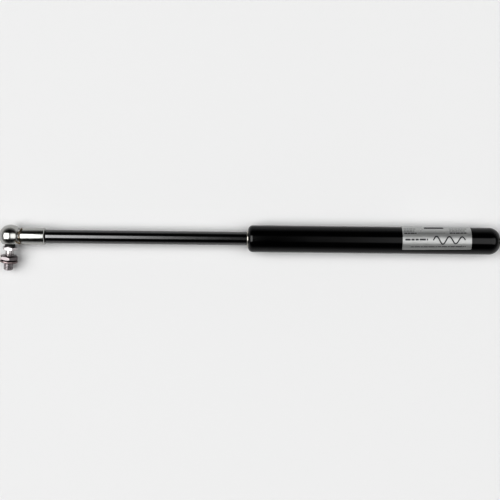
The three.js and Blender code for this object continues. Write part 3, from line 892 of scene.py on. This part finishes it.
def wrapped_strip(name, rows, low, high):
    """A thin closed solid on the label from rows of (left u, right u, v), between two lifts."""
    vertices, faces = [], []
    columns = 14
    for lift in (low, high):
        for left, right, v in rows:
            for c in range(columns + 1):
                vertices.append(on_label(left + (right - left) * c / columns, v, lift))
    wide = columns + 1
    layer = wide * len(rows)
    for r in range(len(rows) - 1):
        for c in range(columns):
            a = r * wide + c
            faces.append((a, a + wide, a + wide + 1, a + 1))
            b = layer + a
            faces.append((b, b + 1, b + wide + 1, b + wide))
    for r in range(len(rows) - 1):
        a, b = r * wide, (r + 1) * wide
        faces.append((a, layer + a, layer + b, b))
        a, b = a + columns, b + columns
        faces.append((a, b, layer + b, layer + a))
    for c in range(columns):
        faces.append((c, c + 1, layer + c + 1, layer + c))
        a = (len(rows) - 1) * wide + c
        faces.append((a, layer + a, layer + a + 1, a + 1))
    piece = new_object(name, vertices, faces)
    return face_outward(piece)


def rounded_rows(left, right, bottom, top, corner, rows=24):
    """Rows of a rectangle with round corners."""
    heights = [bottom + corner * (1 - math.cos(math.radians(90 * i / 6))) for i in range(7)]
    heights += [bottom + corner + (top - bottom - 2 * corner) * i / rows for i in range(1, rows)]
    heights += [top - corner * (1 - math.cos(math.radians(90 * i / 6))) for i in range(6, -1, -1)]
    found = []
    for v in heights:
        short = max(corner - (v - bottom), corner - (top - v), 0.0)
        inset = corner - math.sqrt(max(corner ** 2 - short ** 2, 0.0))
        found.append((left + inset, right - inset, v))
    return found


def make_label():
    rows = rounded_rows(0, LABEL_LENGTH, 0, LABEL_WIDTH, 1.5, 40)
    sheet = wrapped_strip("label_sheet", rows, -LABEL_THICK, 0.0)
    return stands_for(sheet, "label")


def join_as(name, parts):
    mesh = bmesh.new()
    for part in parts:
        mesh.from_mesh(part.data)
    joined = bpy.data.meshes.new(name)
    mesh.to_mesh(joined)
    mesh.free()
    for part in parts:
        bpy.data.objects.remove(part)
    piece = bpy.data.objects.new(name, joined)
    bpy.context.scene.collection.objects.link(piece)
    shade(piece)
    return piece


def wrapped_stroke(name, points, width, low, high):
    """A pen stroke of one width on the label, through (u, v) points."""
    vertices, faces = [], []
    count = len(points)
    for i, (u, v) in enumerate(points):
        ahead, behind = points[min(i + 1, count - 1)], points[max(i - 1, 0)]
        run = Vector((ahead[0] - behind[0], ahead[1] - behind[1])).normalized()
        out_u, out_v = -run.y * width / 2, run.x * width / 2
        for lift in (low, high):
            vertices.append(on_label(u + out_u, v + out_v, lift))
            vertices.append(on_label(u - out_u, v - out_v, lift))
    for i in range(count - 1):
        a, b = 4 * i, 4 * (i + 1)
        for p, q in ((0, 1), (1, 3), (3, 2), (2, 0)):
            faces.append((a + p, a + q, b + q, b + p))
    faces.append((0, 2, 3, 1))
    last = 4 * (count - 1)
    faces.append((last, last + 1, last + 3, last + 2))
    piece = new_object(name, vertices, faces)
    return face_outward(piece)


PRINT_LOW, PRINT_HIGH = -0.02, 0.012


def printed_bar(left, right, bottom, top):
    rows = [(left, right, bottom + (top - bottom) * i / 4) for i in range(5)]
    return wrapped_strip("bar", rows, PRINT_LOW, PRINT_HIGH)


def dashes(left, right, bottom, top, lengths, gap):
    """A line of plain dashes, in place of a line of words."""
    parts = []
    start, turn = left, 0
    while start < right:
        end = min(start + lengths[turn % len(lengths)], right)
        parts.append(printed_bar(start, end, bottom, top))
        start, turn = end + gap, turn + 1
    return parts


def make_print():
    """Plain bars and dashes in place of the printed words, and a pen wave for the writing."""
    parts = [printed_bar(23, 43, 25.0, 28.6), printed_bar(15.5, 44, 18.3, 18.6)]
    for left, right in ((1.8, 14.5), (48.5, 66.5)):
        parts += dashes(left, right, 24.2, 25.0, (2.6, 1.7, 3.4), 0.6)
        parts += dashes(left, right - 2, 20.9, 21.8, (1.9, 3.1, 2.4, 1.3), 0.6)
        parts += dashes(left, right, 17.8, 19.1, (3.3, 2.2, 4.1), 0.5)
    parts += dashes(2.8, 26, 10.6, 12.4, (5.2, 3.1, 3.1, 6.2), 1.1)
    parts += dashes(8.5, 65, 3.4, 4.1, (3.4, 5.6, 2.1, 4.3, 6.5, 1.6), 0.7)
    printed = join_as("label_print", parts)
    printed.data.materials.append(INK)
    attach(printed, "cylinder")

    wave = []
    steps = 96
    for step in range(steps + 1):
        share = step / steps
        swing = math.sin(2 * math.pi * 2.5 * share)
        height = 10.6 + (4.3 - 0.9 * share) * swing
        wave.append((31.5 + 33 * share, height))
    pen = wrapped_stroke("label_pen_wave", wave, 1.25, PRINT_LOW, PRINT_HIGH + 0.008)
    pen.data.materials.append(INK)
    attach(pen, "cylinder")


make_label()
make_print()


# ---- stage, light and camera ----

def make_floor():
    ground = -TUBE_RADIUS * MM
    size = 3.0
    middle = (CAD_BOX[0][0] + CAD_BOX[1][0]) / 2
    mesh = bmesh.new()
    bmesh.ops.create_grid(mesh, x_segments=2, y_segments=2, size=size)
    bmesh.ops.translate(mesh, vec=(middle, 0, ground), verts=mesh.verts)
    data = bpy.data.meshes.new("floor")
    mesh.to_mesh(data)
    mesh.free()
    floor = bpy.data.objects.new("floor", data)
    bpy.context.scene.collection.objects.link(floor)
    data.materials.append(paper())
    return floor


# The studio's brightness, and its directions as parts of a unit vector: a panel's fade and side
# are measured from straight up, and its low edge and the walls' top from the horizon.
LEFT_LEVEL, RIGHT_LEVEL, WALL_LEVEL = 3.5, 1.5, 0.4
PANEL_FADE, PANEL_SIDE, PANEL_LOW = 0.25, 0.4, 0.4
WALL_TOP = 0.5


def make_world():
    """A plain soft studio seen from the strut: a broad panel overhead towards -X, a dimmer one
    towards +X, an unlit gap between them and pale walls low all round."""
    world = bpy.data.worlds.new("studio")
    bpy.context.scene.world = world
    world.use_nodes = True
    tree = world.node_tree
    background = tree.nodes["Background"]
    direction = tree.nodes.new("ShaderNodeTexCoord").outputs["Generated"]
    split = tree.nodes.new("ShaderNodeSeparateXYZ")
    tree.links.new(direction, split.inputs[0])

    def maths(operation, first, second=None):
        node = tree.nodes.new("ShaderNodeMath")
        node.operation = operation
        for socket, value in zip(node.inputs, (first, second)):
            if value is None:
                continue
            if isinstance(value, (int, float)):
                socket.default_value = value
            else:
                tree.links.new(value, socket)
        return node.outputs[0]

    def fade(source, dark, lit, level=1.0):
        """Rises smoothly from nothing at one direction to the full level at another."""
        spread = tree.nodes.new("ShaderNodeMapRange")
        spread.interpolation_type = "SMOOTHSTEP"
        spread.inputs["From Min"].default_value = dark
        spread.inputs["From Max"].default_value = lit
        spread.inputs["To Max"].default_value = level
        tree.links.new(source, spread.inputs["Value"])
        return spread.outputs["Result"]

    along, across, height = split.outputs
    side = maths("ABSOLUTE", across)
    panels = maths("ADD", fade(along, 0.0, -PANEL_FADE, LEFT_LEVEL),
                   fade(along, 0.0, PANEL_FADE, RIGHT_LEVEL))
    overhead = maths("MULTIPLY", fade(side, PANEL_SIDE + 0.1, PANEL_SIDE - 0.1),
                     fade(height, PANEL_LOW, PANEL_LOW + 0.2))
    walls = fade(height, WALL_TOP, 0.0, WALL_LEVEL)
    light = maths("ADD", maths("MULTIPLY", panels, overhead), walls)
    background.inputs["Color"].default_value = (1, 1, 1, 1)
    tree.links.new(light, background.inputs["Strength"])
    return world


def make_camera():
    """Straight above the strut, which lies a little off level across the picture."""
    frame_width, distance, sensor = 0.5205, 1.05, 36.0
    tilt = math.radians(0.627)
    data = bpy.data.cameras.new("camera")
    data.sensor_width = sensor
    data.lens = sensor * distance / frame_width
    data.clip_end = 20
    camera = bpy.data.objects.new("camera", data)
    bpy.context.scene.collection.objects.link(camera)
    offset = Vector((249.1, -11.8, 0)) * MM
    camera.location = BALL + offset + UP * distance
    camera.rotation_euler = (0, 0, tilt)
    bpy.context.scene.camera = camera
    return camera


make_camera()
make_floor()
make_world()
bpy.context.scene.view_settings.view_transform = "Standard"
bpy.context.scene.view_settings.look = "High Contrast"
